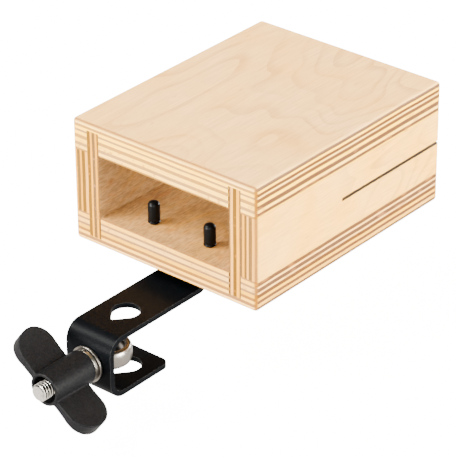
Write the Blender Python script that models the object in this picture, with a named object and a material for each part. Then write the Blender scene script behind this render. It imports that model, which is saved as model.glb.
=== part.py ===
"""Plywood wood block on a bent steel bracket with an eyebolt rod clamp.

Units are metres and +Z is up.  The origin is the middle of the clamp, where the axis of
the holder rod (Z) meets the axis of the eyebolt (Y).  +Y runs from the clamp to the
block, and +X runs to the right along the block's open front face.
"""
import math

import bmesh
import bpy
from mathutils import Vector

# The box of four plywood boards.
BLOCK_WIDTH = 0.1045
BLOCK_DEPTH = 0.1310
BLOCK_HEIGHT = 0.0606
PLY = 0.0150
TONGUE = 0.0065
GROOVE_ROOF = 0.0040
EDGE_ROUND = 0.0015
SLOT_KERF = 0.0012
SLOT_LENGTH = 0.0720

# The bracket, one strip of sheet steel with a T-shaped head under the block.
STEEL = 0.0025
STRAP_WIDTH = 0.0255
STRAP_DROP = 0.0067
ROD_TO_BLOCK = 0.0253
CLAMP_GAP = 0.0248
WALL_TO_ROD = 0.0247
LUG_REACH = 0.0136
LUG_CORNER = 0.0040
BEND_RADIUS = 0.0055
JOGGLE_RADIUS = 0.0010
HEAD_EAR = 0.0079
HEAD_OVERHANG = 0.0042
RISER_TO_SCREW = 0.0016
HEAD_REAR = 0.0090
HEAD_CORNER = 0.0040
RELIEF_WIDTH = 0.0005
ROD_HOLE = 0.0128
NOTCH_HALF_ANGLE = math.radians(40)
NOTCH_ROUND = 0.0010

# The two screws that hold the bracket, their inserts and their soft caps.
SCREW_TO_STRAP = 0.00335
SCREW_SETBACK = 0.0122
SCREW_DIAMETER = 0.0038
SCREW_STICKOUT = 0.0097
SCREW_TAPER = 0.0006
SCREW_HEAD = 0.0060
SCREW_HEAD_RIM = 0.0008
SCREW_HEAD_DOME = 0.0020
DRIVE_SPAN = 0.0038
DRIVE_BLADE = 0.0011
DRIVE_DEPTH = 0.0014
INSERT_WALL = 0.0011
INSERT_COVER = 0.0029
CAP_WALL = 0.00055
CAP_FLARE = 0.0004
CAP_SKIRT = 0.0014
CAP_DOME = 0.0019
CAP_CROWN = 0.0010

# The eyebolt, its washers and the wing nut.
BOLT_DIAMETER = 0.0080
THREAD_STICKOUT = 0.0036
THREAD_CHAMFER = 0.0007
EYE_HOLE = 0.0130
EYE_OUTER = 0.0206
EYE_HEIGHT = 0.0085
EYE_ROUNDNESS = 0.75
NECK_DIAMETER = 0.0052
WASHER_OUTER = 0.0170
WASHER_THICKNESS = 0.0012
LOCK_OUTER = 0.0152
LOCK_THICKNESS = 0.0016
LOCK_SPLIT = 0.0012
HUB_INNER_END = 0.0160
HUB_OUTER_END = 0.0154
HUB_NECK = 0.0041
HUB_WALL = 0.0015
HUB_EASE = 0.0005
NUT_WALL = 0.0014
NUT_LENGTH = 0.0120
NUT_EASE = 0.0004
WING_REACH = 0.0262
WING_WIDTH = 0.0196
WING_ROOT = 0.0038
WING_TIP = 0.0084
WING_SETBACK = 0.0003
WING_SWELL = 2.2
WING_ROUNDNESS = 0.4
WING_ANGLE = math.radians(143)

# Clearance between pieces that touch, run or screw together.
GAP = 0.0003

# How finely round shapes are faceted.
ROUND_SIDES = 32
SMALL_SIDES = 24
EYE_SIDES = 48
ARC_STEPS = 6
EYE_SECTION_POINTS = 16
WING_SECTION_POINTS = 24
WING_STRAIGHT_STEPS = 6
WING_TIP_STEPS = 9
WING_TIP_END = math.radians(86)
SMOOTH_ANGLE = math.radians(35)

# Levels and stations that several pieces share.
STRAP_TOP = CLAMP_GAP / 2 + STEEL
UNDERSIDE = STRAP_TOP + STRAP_DROP
FLOOR = UNDERSIDE + PLY
TOP_FACE = UNDERSIDE + BLOCK_HEIGHT
CEILING = TOP_FACE - PLY
FRONT = ROD_TO_BLOCK
BACK = FRONT + BLOCK_DEPTH
HALF_WIDTH = BLOCK_WIDTH / 2
TONGUE_OUTSIDE = HALF_WIDTH - PLY + TONGUE
TONGUE_INSIDE = HALF_WIDTH - PLY
GROOVE_DEPTH = PLY - GROOVE_ROOF
SCREW_X = STRAP_WIDTH / 2 + SCREW_TO_STRAP
SCREW_Y = FRONT + SCREW_SETBACK
SCREW_RADIUS = SCREW_DIAMETER / 2
INSERT_LOW = UNDERSIDE + GAP
INSERT_HIGH = FLOOR - INSERT_COVER - GAP
BOLT_RADIUS = BOLT_DIAMETER / 2
WALL_OUTSIDE = -WALL_TO_ROD
WALL_INSIDE = WALL_OUTSIDE + STEEL
WASHER_FACE = WALL_OUTSIDE - GAP
LOCK_FACE = WASHER_FACE - WASHER_THICKNESS - GAP
HUB_FACE = LOCK_FACE - LOCK_THICKNESS - GAP
HUB_END = HUB_FACE - HUB_NECK - WING_WIDTH - WING_SETBACK
EYE_CENTRE = WALL_INSIDE + GAP + EYE_OUTER / 2
NUT_OUTER = BOLT_DIAMETER + 2 * (GAP + NUT_WALL)


def clear_scene():
    """Remove every object that the scene starts with."""
    for item in list(bpy.data.objects):
        bpy.data.objects.remove(item, do_unlink=True)


def material(name, colour, roughness, metallic=0.0):
    """Make a plain surface of one colour."""
    made = bpy.data.materials.new(name)
    made.use_nodes = True
    surface = made.node_tree.nodes["Principled BSDF"]
    surface.inputs["Base Color"].default_value = (*colour, 1.0)
    surface.inputs["Roughness"].default_value = roughness
    surface.inputs["Metallic"].default_value = metallic
    made.diffuse_color = (*colour, 1.0)
    return made


def arc(centre, radius, start, end, steps=ARC_STEPS):
    """Points along an arc, from one angle to another, both ends included."""
    turns = (start + (end - start) * step / steps for step in range(steps + 1))
    return [(centre[0] + radius * math.cos(turn), centre[1] + radius * math.sin(turn))
            for turn in turns]


def add_object(name, shape, origin=(0.0, 0.0, 0.0), finish=None, round_piece=False):
    """Turn a finished bmesh in world place into an object with the given origin."""
    bmesh.ops.recalc_face_normals(shape, faces=shape.faces)
    bmesh.ops.translate(shape, verts=shape.verts, vec=-Vector(origin))
    mesh = bpy.data.meshes.new(name)
    shape.to_mesh(mesh)
    shape.free()
    made = bpy.data.objects.new(name, mesh)
    made.location = origin
    bpy.context.scene.collection.objects.link(made)
    if finish:
        mesh.materials.append(finish)
    if round_piece:
        mesh.shade_smooth()
        mesh.set_sharp_from_angle(angle=SMOOTH_ANGLE)
    return made


def boolean(target, tool, operation):
    """Join a tool to the target, or cut it away, and remove the tool."""
    bpy.context.view_layer.update()
    step = target.modifiers.new(operation.lower(), "BOOLEAN")
    step.operation = operation
    step.solver = "EXACT"
    step.object = tool
    graph = bpy.context.evaluated_depsgraph_get()
    result = bpy.data.meshes.new_from_object(target.evaluated_get(graph))
    target.modifiers.clear()
    target.data = result
    bpy.data.objects.remove(tool, do_unlink=True)


def prism(outline, start, end, axis):
    """Extrude a closed outline along Y or Z, from its points in X and the other axis."""
    def ring(station):
        points = ((a, station, b) if axis == "Y" else (a, b, station) for a, b in outline)
        return [shape.verts.new(point) for point in points]

    shape = bmesh.new()
    near, far = ring(start), ring(end)
    shape.faces.new(near)
    shape.faces.new(reversed(far))
    for index in range(len(outline)):
        following = (index + 1) % len(outline)
        shape.faces.new((near[index], far[index], far[following], near[following]))
    return shape


def turned(profile, axis, centre=(0.0, 0.0), closed=False, sides=ROUND_SIDES):
    """Turn a profile of (radius, station) points about a line along Y or Z.

    A closed profile makes a ring.  An open one starts and ends on the axis.
    """
    def point(radius, station, turn):
        across, other = radius * math.cos(turn), radius * math.sin(turn)
        if axis == "Z":
            return centre[0] + across, centre[1] + other, station
        return centre[0] + across, station, centre[1] + other

    shape = bmesh.new()
    rings = []
    for radius, station in profile:
        count = sides if radius > 0 else 1
        rings.append([shape.verts.new(point(radius, station, 2 * math.pi * side / sides))
                      for side in range(count)])
    pairs = list(zip(rings, rings[1:]))
    if closed:
        pairs.append((rings[-1], rings[0]))
    for first, second in pairs:
        for side in range(sides):
            after = (side + 1) % sides
            if len(first) == 1:
                shape.faces.new((first[0], second[side], second[after]))
            elif len(second) == 1:
                shape.faces.new((first[side], second[0], first[after]))
            else:
                shape.faces.new((first[side], second[side], second[after], first[after]))
    return shape


def block_box(low, high):
    """A plain box between two corners."""
    outline = [(low[0], low[1]), (high[0], low[1]), (high[0], high[1]), (low[0], high[1])]
    return prism(outline, low[2], high[2], "Z")


def round_edges(shape, wanted):
    """Round the edges whose two ends both satisfy the given test."""
    edges = [edge for edge in shape.edges if wanted(edge.verts[0].co, edge.verts[1].co)]
    bmesh.ops.bevel(shape, geom=edges, offset=EDGE_ROUND, segments=3, profile=0.5,
                    affect="EDGES", clamp_overlap=True)


def at(value, place):
    """Whether a coordinate lies at a place."""
    return abs(value - place) < GAP / 10


def on_corner(point):
    """Whether a point lies on one of the block's four upright corners."""
    return at(abs(point.x), HALF_WIDTH) and (at(point.y, FRONT) or at(point.y, BACK))


def flat_board(name, outer, inner, finish):
    """The top or bottom board, with a through groove for each side board's tongue."""
    inward = math.copysign(1.0, inner - outer)
    groove_floor = inner - inward * GROOVE_DEPTH
    outline = [(-HALF_WIDTH, outer), (HALF_WIDTH, outer), (HALF_WIDTH, inner)]
    for first, second in ((TONGUE_OUTSIDE + GAP, TONGUE_INSIDE - GAP),
                          (-TONGUE_INSIDE + GAP, -TONGUE_OUTSIDE - GAP)):
        outline += [(first, inner), (first, groove_floor), (second, groove_floor), (second, inner)]
    outline.append((-HALF_WIDTH, inner))
    shape = prism(outline, FRONT, BACK, "Y")

    def outside(first, second):
        along_rim = at(first.z, outer) and at(second.z, outer)
        upright = on_corner(first) and on_corner(second)
        return along_rim or upright

    round_edges(shape, outside)
    return add_object(name, shape, (0, (FRONT + BACK) / 2, (outer + inner) / 2), finish)


def side_board(name, side, finish):
    """A side board: shoulders between the flat boards, tongues in their grooves, one saw slot."""
    tongue_end = GROOVE_DEPTH - GAP
    outside, step, inside = (side * place for place in (HALF_WIDTH, TONGUE_OUTSIDE, TONGUE_INSIDE))
    outline = [(outside, FLOOR + GAP), (step, FLOOR + GAP), (step, FLOOR - tongue_end),
               (inside, FLOOR - tongue_end), (inside, CEILING + tongue_end),
               (step, CEILING + tongue_end), (step, CEILING - GAP), (outside, CEILING - GAP)]
    shape = prism(outline, FRONT, BACK, "Y")
    round_edges(shape, lambda first, second: on_corner(first) and on_corner(second))
    middle = (FLOOR + CEILING) / 2
    board = add_object(name, shape, (side * (HALF_WIDTH - PLY / 2), (FRONT + BACK) / 2, middle),
                       finish)
    left, right = sorted((outside + side * PLY, inside - side * PLY))
    slot = block_box((left, BACK - SLOT_LENGTH, middle - SLOT_KERF / 2),
                     (right, BACK + PLY, middle + SLOT_KERF / 2))
    boolean(board, add_object("slot", slot), "DIFFERENCE")
    return board


def screw_places():
    """Side name and X of each of the two bracket screws."""
    return (("left", -SCREW_X), ("right", SCREW_X))


def bottom_board(finish):
    """The bottom board, bored from below for the two inserts and through for the screws."""
    board = flat_board("bottom_board", UNDERSIDE, FLOOR, finish)
    insert_hole = SCREW_RADIUS + GAP + INSERT_WALL + GAP
    for side, place in screw_places():
        profile = [(0, UNDERSIDE - PLY), (insert_hole, UNDERSIDE - PLY),
                   (insert_hole, INSERT_HIGH + GAP), (SCREW_RADIUS + GAP, INSERT_HIGH + GAP),
                   (SCREW_RADIUS + GAP, FLOOR + PLY), (0, FLOOR + PLY)]
        hole = turned(profile, "Z", (place, SCREW_Y))
        boolean(board, add_object("bore_" + side, hole), "DIFFERENCE")
    return board


def bent_path(corners, steps=ARC_STEPS):
    """Points and left-hand normals along a path of (y, z, radius) corners with round bends."""
    places = [Vector((y, z)) for y, z, _ in corners]
    stations = [(places[0], (places[1] - places[0]).normalized().orthogonal())]
    for before, here, after, corner in zip(places, places[1:], places[2:], corners[1:]):
        arriving, leaving = (here - before).normalized(), (after - here).normalized()
        turn = arriving.angle_signed(leaving) * -1
        inset = corner[2] * math.tan(abs(turn) / 2)
        start = here - arriving * inset
        hand = math.copysign(1.0, turn)
        centre = start + arriving.orthogonal() * hand * corner[2]
        first = math.atan2(*reversed(start - centre))
        for step in range(steps + 1):
            angle = first + turn * step / steps
            outward = Vector((math.cos(angle), math.sin(angle)))
            stations.append((centre + outward * corner[2], -outward * hand))
    stations.append((places[-1], (places[-1] - places[-2]).normalized().orthogonal()))
    return stations


def strip_stations():
    """Stations of the bent strip, from the lug's free end to the start of the head.

    Each is the middle of the sheet, its outward normal and half the strip's width there.
    """
    lug = -(CLAMP_GAP + STEEL) / 2
    strap = STRAP_TOP - STEEL / 2
    head = UNDERSIDE - GAP - STEEL / 2
    wall = WALL_OUTSIDE + STEEL / 2
    clamp_bend = BEND_RADIUS + STEEL / 2
    joggle_bend = min(JOGGLE_RADIUS + STEEL / 2, (head - strap - GAP) / 2)
    riser = SCREW_Y - RISER_TO_SCREW + STEEL / 2
    path = bent_path([(LUG_REACH - LUG_CORNER, lug, 0), (wall, lug, clamp_bend),
                      (wall, strap, clamp_bend), (riser, strap, joggle_bend),
                      (riser, head, joggle_bend), (riser + joggle_bend + GAP, head, 0)])
    half = STRAP_WIDTH / 2
    rounded = []
    for along, across in arc((LUG_REACH - LUG_CORNER, half - LUG_CORNER), LUG_CORNER, 0,
                             math.pi / 2)[:-1]:
        rounded.append((Vector((along, lug)), path[0][1], across))
    return rounded + [(place, normal, half) for place, normal in path]


def head_outline(start):
    """Outline of the bracket's head, from the strip's right edge round to its left edge."""
    half, side = SCREW_X + HEAD_EAR, STRAP_WIDTH / 2 + RELIEF_WIDTH
    front, rear = SCREW_Y - HEAD_OVERHANG, SCREW_Y + HEAD_REAR
    right = [(STRAP_WIDTH / 2, start), (side, start), (side, front)]
    right += arc((half - HEAD_CORNER, front + HEAD_CORNER), HEAD_CORNER, -math.pi / 2, 0)
    right += arc((half - HEAD_CORNER, rear - HEAD_CORNER), HEAD_CORNER, 0, math.pi / 2)
    return right + [(-x, y) for x, y in reversed(right)]


def teardrop():
    """Outline of a rod hole: round, with a V towards the wall that seats the rod."""
    radius = ROD_HOLE / 2
    tip = (0, -(radius - NOTCH_ROUND) / math.sin(NOTCH_HALF_ANGLE))
    right, left = -NOTCH_HALF_ANGLE, math.pi + NOTCH_HALF_ANGLE
    return (arc((0, 0), radius, right, left, ROUND_SIDES)
            + arc(tip, NOTCH_ROUND, left, right + 2 * math.pi))


def bracket(finish):
    """The steel bracket: lug, wall, strap, joggle and T-head in one bent sheet."""
    shape = bmesh.new()
    rings = []
    for place, normal, half in strip_stations():
        outer, inner = place + normal * STEEL / 2, place - normal * STEEL / 2
        rings.append([shape.verts.new((x, *face)) for x, face in
                      ((-half, outer), (half, outer), (half, inner), (-half, inner))])
    shape.faces.new(rings[0])
    for first, second in zip(rings, rings[1:]):
        for index in range(4):
            after = (index + 1) % 4
            shape.faces.new((first[index], second[index], second[after], first[after]))
    left_top, right_top, right_low, left_low = rings[-1]
    edge = head_outline(right_top.co.y)[1:-1]
    tops = [right_top] + [shape.verts.new((x, y, right_top.co.z)) for x, y in edge] + [left_top]
    lows = [right_low] + [shape.verts.new((x, y, right_low.co.z)) for x, y in edge] + [left_low]
    shape.faces.new(tops)
    shape.faces.new(reversed(lows))
    for index in range(len(tops) - 1):
        shape.faces.new((tops[index], lows[index], lows[index + 1], tops[index + 1]))
    made = add_object("clamp_bracket", shape, finish=finish, round_piece=True)

    rod_hole = prism(teardrop(), -STRAP_TOP - STEEL, UNDERSIDE, "Z")
    boolean(made, add_object("rod_hole", rod_hole), "DIFFERENCE")
    bore = BOLT_RADIUS + GAP
    bolt_hole = [(0, WALL_OUTSIDE - STEEL), (bore, WALL_OUTSIDE - STEEL),
                 (bore, WALL_INSIDE + STEEL), (0, WALL_INSIDE + STEEL)]
    boolean(made, add_object("bolt_hole", turned(bolt_hole, "Y")), "DIFFERENCE")
    for side, place in screw_places():
        bore = SCREW_RADIUS + GAP
        low = UNDERSIDE - 2 * STEEL
        hole = turned([(0, low), (bore, low), (bore, UNDERSIDE), (0, UNDERSIDE)],
                      "Z", (place, SCREW_Y))
        boolean(made, add_object("hole_" + side, hole), "DIFFERENCE")
    return made


def dome(radius, base, height):
    """Profile points of a dome from its rim to just short of the axis."""
    turns = (math.pi / 2 * step / ARC_STEPS for step in range(ARC_STEPS))
    return [(radius * math.cos(turn), base + height * math.sin(turn)) for turn in turns]


def bracket_screw(side, place, finish):
    """A pan-head screw from under the bracket's head up through the block's floor."""
    seat = UNDERSIDE - GAP - STEEL - GAP
    rim = seat - SCREW_HEAD_RIM
    crown = rim - SCREW_HEAD_DOME
    end = FLOOR + SCREW_STICKOUT
    profile = ([(0, crown)] + dome(SCREW_HEAD / 2, rim, -SCREW_HEAD_DOME)[::-1]
               + [(SCREW_HEAD / 2, seat), (SCREW_RADIUS, seat), (SCREW_RADIUS, end - SCREW_TAPER),
                  (SCREW_RADIUS - SCREW_TAPER, end), (0, end)])
    shape = turned(profile, "Z", (place, SCREW_Y), sides=SMALL_SIDES)
    made = add_object("bracket_screw_" + side, shape, (place, SCREW_Y, seat), finish, True)
    for wide, deep in ((DRIVE_SPAN / 2, DRIVE_BLADE / 2), (DRIVE_BLADE / 2, DRIVE_SPAN / 2)):
        slot = block_box((place - wide, SCREW_Y - deep, crown - DRIVE_DEPTH),
                         (place + wide, SCREW_Y + deep, crown + DRIVE_DEPTH))
        boolean(made, add_object("drive", slot), "DIFFERENCE")
    return made


def screw_insert(side, place, finish):
    """A brass insert in the bottom board that takes the screw's thread."""
    bore = SCREW_RADIUS + GAP
    outer = bore + INSERT_WALL
    chamfer = INSERT_WALL / 2
    profile = [(bore, INSERT_LOW), (outer - chamfer, INSERT_LOW), (outer, INSERT_LOW + chamfer),
               (outer, INSERT_HIGH - chamfer), (outer - chamfer, INSERT_HIGH), (bore, INSERT_HIGH)]
    shape = turned(profile, "Z", (place, SCREW_Y), closed=True, sides=SMALL_SIDES)
    return add_object("screw_insert_" + side, shape, (place, SCREW_Y, INSERT_LOW), finish, True)


def screw_cap(side, place, finish):
    """A soft cap over the screw's end, standing on the floor inside the block."""
    bore = SCREW_RADIUS + GAP
    outer = bore + CAP_WALL
    low = FLOOR + GAP
    roof = FLOOR + SCREW_STICKOUT + GAP
    crown = roof + CAP_CROWN
    profile = ([(0, roof), (bore, roof), (bore, low), (outer + CAP_FLARE, low),
                (outer, low + CAP_SKIRT)] + dome(outer, crown - CAP_DOME, CAP_DOME) + [(0, crown)])
    shape = turned(profile, "Z", (place, SCREW_Y), sides=SMALL_SIDES)
    return add_object("screw_cap_" + side, shape, (place, SCREW_Y, low), finish, True)


def soft_square(count, roundness):
    """Points of a square with soft sides and corners; a roundness of 1 is a circle."""
    points = []
    for step in range(count):
        turn = 2 * math.pi * (step + 0.5) / count
        points.append(tuple(math.copysign(abs(value) ** roundness, value)
                            for value in (math.cos(turn), math.sin(turn))))
    return points


def eyebolt(finish):
    """The eyebolt, pulled up to the wall: a forged ring on a threaded shank along -Y."""
    middle = (EYE_OUTER + EYE_HOLE) / 4
    wide, high = (EYE_OUTER - EYE_HOLE) / 4, EYE_HEIGHT / 2
    section = [(middle + wide * across, high * up)
               for across, up in soft_square(EYE_SECTION_POINTS, EYE_ROUNDNESS)]
    ring = turned(section, "Z", (0, EYE_CENTRE), closed=True, sides=EYE_SIDES)
    made = add_object("eyebolt", ring, (0, EYE_CENTRE, 0), finish, True)
    root = EYE_CENTRE - middle
    end = HUB_END - THREAD_STICKOUT
    profile = [(0, root), (NECK_DIAMETER / 2, root), (BOLT_RADIUS, EYE_CENTRE - EYE_OUTER / 2),
               (BOLT_RADIUS, end + THREAD_CHAMFER), (BOLT_RADIUS - THREAD_CHAMFER, end), (0, end)]
    boolean(made, add_object("shank", turned(profile, "Y"), round_piece=True), "UNION")
    return made


def flat_washer(finish):
    """The flat washer against the bracket's wall."""
    bore, rim = BOLT_RADIUS + GAP, WASHER_OUTER / 2
    near, far = WASHER_FACE, WASHER_FACE - WASHER_THICKNESS
    profile = [(bore, near), (rim, near), (rim, far), (bore, far)]
    return add_object("flat_washer", turned(profile, "Y", closed=True), (0, near, 0), finish, True)


def lock_washer(finish):
    """The split spring washer between the flat washer and the wing nut."""
    bore, rim = BOLT_RADIUS + GAP, LOCK_OUTER / 2
    near, far = LOCK_FACE, LOCK_FACE - LOCK_THICKNESS
    profile = [(bore, near), (rim, near), (rim, far), (bore, far)]
    made = add_object("lock_washer", turned(profile, "Y", closed=True), (0, near, 0), finish, True)
    slant = LOCK_THICKNESS
    outline = [(x + shift, y) for x, y, shift in
               ((-LOCK_SPLIT / 2, near + slant, slant), (LOCK_SPLIT / 2, near + slant, slant),
                (LOCK_SPLIT / 2, far - slant, -slant), (-LOCK_SPLIT / 2, far - slant, -slant))]
    boolean(made, add_object("split", prism(outline, 0, LOCK_OUTER, "Z")), "DIFFERENCE")
    return made


def wing(angle):
    """One paddle of the wing nut, thin at the hub and thick and round at its tip."""
    radial = Vector((math.cos(angle), 0, math.sin(angle)))
    across = Vector((-math.sin(angle), 0, math.cos(angle)))
    along = Vector((0, 1, 0))
    half = WING_WIDTH / 2
    middle = HUB_END + WING_SETBACK + half
    root, bend = HUB_OUTER_END / 4, WING_REACH - half
    straight = [(root + (bend - root) * step / WING_STRAIGHT_STEPS, half)
                for step in range(WING_STRAIGHT_STEPS)]
    turns = (WING_TIP_END * step / WING_TIP_STEPS for step in range(WING_TIP_STEPS + 1))
    tip = [(bend + half * math.sin(turn), half * math.cos(turn)) for turn in turns]
    shape = bmesh.new()
    rings = []
    for reach, wide in straight + tip:
        grown = max(0.0, (reach - HUB_OUTER_END / 2) / (WING_REACH - HUB_OUTER_END / 2))
        thick = (WING_ROOT + (WING_TIP - WING_ROOT) * grown ** WING_SWELL) / 2
        rings.append([shape.verts.new(radial * reach + along * (middle + wide * side)
                                      + across * thick * up)
                      for side, up in soft_square(WING_SECTION_POINTS, WING_ROUNDNESS)])
    shape.faces.new(rings[0])
    shape.faces.new(reversed(rings[-1]))
    for first, second in zip(rings, rings[1:]):
        for index in range(WING_SECTION_POINTS):
            after = (index + 1) % WING_SECTION_POINTS
            shape.faces.new((first[index], second[index], second[after], first[after]))
    return shape


def wing_nut(finish):
    """The plastic wing nut: a hub with two paddles, bored for its metal insert and the thread."""
    near, far = HUB_INNER_END / 2, HUB_OUTER_END / 2
    hub = [(0, HUB_FACE), (near - HUB_EASE, HUB_FACE), (near, HUB_FACE - HUB_EASE),
           (far, HUB_END + HUB_EASE), (far - HUB_EASE, HUB_END), (0, HUB_END)]
    made = add_object("wing_nut", turned(hub, "Y"), (0, HUB_FACE, 0), finish, True)
    for name, angle in (("wing_up", WING_ANGLE), ("wing_down", WING_ANGLE + math.pi)):
        boolean(made, add_object(name, wing(angle), round_piece=True), "UNION")
    pocket = NUT_OUTER / 2 + GAP
    mouth = far - HUB_WALL
    step = HUB_FACE - NUT_LENGTH - GAP
    bore = [(0, HUB_FACE + HUB_WALL), (pocket, HUB_FACE + HUB_WALL), (pocket, step),
            (mouth, step), (mouth, HUB_END - HUB_WALL), (0, HUB_END - HUB_WALL)]
    boolean(made, add_object("bore", turned(bore, "Y")), "DIFFERENCE")
    return made


def wing_nut_insert(finish):
    """The metal nut moulded into the wing nut's hub."""
    bore, rim = BOLT_RADIUS + GAP, NUT_OUTER / 2
    near, far = HUB_FACE, HUB_FACE - NUT_LENGTH
    profile = [(bore, near), (rim - NUT_EASE, near), (rim, near - NUT_EASE), (rim, far + NUT_EASE),
               (rim - NUT_EASE, far), (bore, far)]
    return add_object("wing_nut_insert", turned(profile, "Y", closed=True), (0, near, 0), finish, True)


def build():
    """Make every piece and hang it on one empty at the clamp's centre."""
    clear_scene()
    plywood = material("plywood", (0.82, 0.68, 0.50), 0.55)
    coated_steel = material("black_coated_steel", (0.015, 0.015, 0.016), 0.45)
    plated_steel = material("nickel_plated_steel", (0.72, 0.70, 0.66), 0.22, 1.0)
    zinc_steel = material("black_zinc_steel", (0.05, 0.05, 0.05), 0.40, 1.0)
    brass = material("brass", (0.71, 0.53, 0.22), 0.35, 1.0)
    rubber = material("black_rubber", (0.012, 0.012, 0.012), 0.70)
    plastic = material("black_plastic", (0.020, 0.020, 0.021), 0.55)

    pieces = [
        flat_board("top_board", TOP_FACE, CEILING, plywood),
        bottom_board(plywood),
        side_board("side_board_left", -1, plywood),
        side_board("side_board_right", 1, plywood),
        bracket(coated_steel),
    ]
    for side, place in screw_places():
        pieces.append(bracket_screw(side, place, zinc_steel))
        pieces.append(screw_insert(side, place, brass))
        pieces.append(screw_cap(side, place, rubber))
    pieces += [eyebolt(plated_steel), flat_washer(plated_steel), lock_washer(plated_steel),
               wing_nut(plastic), wing_nut_insert(plated_steel)]

    frame = bpy.data.objects.new("wood_block", None)
    bpy.context.scene.collection.objects.link(frame)
    for piece in pieces:
        piece.parent = frame


build()
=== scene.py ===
"""Looks of a plywood wood block on a bent steel bracket with an eyebolt rod clamp.

Units are metres and +Z is up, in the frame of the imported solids: the origin is the middle
of the rod clamp, +Y runs from the clamp into the block and +X along its open front.
"""

import logging
import math
import random
from dataclasses import dataclass
from enum import Enum
from typing import Any, Callable, Iterable, Optional, Sequence

import bmesh
import bpy
from mathutils import Matrix, Vector

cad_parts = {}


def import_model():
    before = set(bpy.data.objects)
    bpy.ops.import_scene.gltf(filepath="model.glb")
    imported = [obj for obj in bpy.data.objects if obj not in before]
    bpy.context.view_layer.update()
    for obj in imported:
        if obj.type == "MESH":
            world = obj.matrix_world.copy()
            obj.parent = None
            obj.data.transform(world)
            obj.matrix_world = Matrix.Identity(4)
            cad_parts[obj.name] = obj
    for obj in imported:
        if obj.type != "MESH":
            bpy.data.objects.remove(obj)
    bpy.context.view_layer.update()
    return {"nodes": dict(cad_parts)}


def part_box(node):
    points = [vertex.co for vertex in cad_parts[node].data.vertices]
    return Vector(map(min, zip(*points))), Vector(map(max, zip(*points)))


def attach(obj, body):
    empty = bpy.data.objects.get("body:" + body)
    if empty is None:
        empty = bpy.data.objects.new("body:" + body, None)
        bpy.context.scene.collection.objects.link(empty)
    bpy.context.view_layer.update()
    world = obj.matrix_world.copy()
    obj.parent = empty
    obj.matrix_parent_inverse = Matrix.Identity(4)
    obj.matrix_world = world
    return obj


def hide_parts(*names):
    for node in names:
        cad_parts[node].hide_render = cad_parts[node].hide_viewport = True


LOG = logging.getLogger("wood_block")
MM = 0.001
MERGE = 0.001 * MM
FULL_TURN = 2 * math.pi
QUARTER_TURN = math.pi / 2
SMOOTH_ANGLE = math.radians(38)
ROUND_STEPS = 96
GRAIN_AXIS = 1  # The face veneers' grain follows Y.
UP = Vector((0, 0, 1))
BOLT_LINE = Vector((0, 1, 0))
ORIGIN = Vector((0, 0, 0))
Points = Sequence[tuple[float, float]]
Colour = tuple[float, float, float, float]


class Body(Enum):
    """The three bodies that the pieces ride on."""

    BLOCK = "block"
    NUT = "nut"
    BOLT = "bolt"


class Side(Enum):
    """The two sides of the block, each with its sign on the X axis."""

    LEFT = -1
    RIGHT = 1

    @property
    def label(self) -> str:
        """The side's word in the names of pieces and solids."""
        return self.name.lower()


class PlyAxis(Enum):
    """The axis that a board's thickness lies along, as an index into a vector."""

    X = 0
    Z = 2


class Join(Enum):
    """What one shape does to another."""

    ADD = "UNION"
    CUT = "DIFFERENCE"


def linear(colour: str) -> Colour:
    """Turn an sRGB hex colour into linear red, green, blue and an alpha of 1.

    Args:
        colour: Six hex digits, as in "E8BC80".

    Returns:
        The linear colour with its alpha.
    """
    shares = (int(colour[place:place + 2], 16) / 255 for place in (0, 2, 4))
    red, green, blue = (share / 12.92 if share <= 0.04045 else ((share + 0.055) / 1.055) ** 2.4
                        for share in shares)
    return red, green, blue, 1.0


def per_mm(*sizes: float) -> tuple[float, ...]:
    """Pattern scales for features of the given sizes in millimetres."""
    return tuple(1 / (size * MM) for size in sizes)


def in_use(sockets: Iterable[bpy.types.NodeSocket], name: str = "") -> bpy.types.NodeSocket:
    """The first socket that is in use, or the first of them with a given name."""
    return next(socket for socket in sockets if socket.enabled and name in ("", socket.name))


def feed(node: bpy.types.Node, inputs: dict) -> None:
    """Feed a node's sockets.

    Args:
        node: The node.
        inputs: Socket name or index, to a plain value, to an output socket, or to a node that
            gives its first output.
    """
    for key, value in inputs.items():
        socket = node.inputs[key] if isinstance(key, int) else in_use(node.inputs, key)
        if isinstance(value, bpy.types.Node):
            value = in_use(value.outputs)
        if isinstance(value, bpy.types.NodeSocket):
            node.id_data.links.new(value, socket)
        else:
            socket.default_value = value


def add_node(tree: bpy.types.NodeTree, kind: str, inputs: Optional[dict] = None,
             **settings: Any) -> bpy.types.Node:
    """Add a shader node, set its properties and feed its sockets.

    Args:
        tree: Node tree that gets the node.
        kind: Blender's name of the node, without its ShaderNode prefix.
        inputs: What its sockets get, as for feed.
        settings: Properties of the node, such as operation or data_type.

    Returns:
        The new node.
    """
    node = tree.nodes.new("ShaderNode" + kind)
    for name, value in settings.items():
        setattr(node, name, value)
    feed(node, inputs or {})
    return node


def new_material(name: str) -> tuple[bpy.types.Material, bpy.types.NodeTree, bpy.types.Node]:
    """Start a material.

    Args:
        name: What the material is.

    Returns:
        The material, its node tree and its Principled shader.
    """
    made = bpy.data.materials.new(name)
    made.use_nodes = True
    return made, made.node_tree, made.node_tree.nodes["Principled BSDF"]


@dataclass(frozen=True)
class PlySet:
    """Thicknesses and edge colours of a board's plies.

    Args:
        long_ply: Thickness of a ply with its grain along Y.
        cross_ply: Thickness of a ply with its grain across that.
        cream: Colour of an edge cut along the fibres.
        front: Colour of cut fibres on the front and back.
        side: Colour of cut fibres on the left and right.
    """

    long_ply: float
    cross_ply: float
    cream: str
    front: str
    side: str


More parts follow.
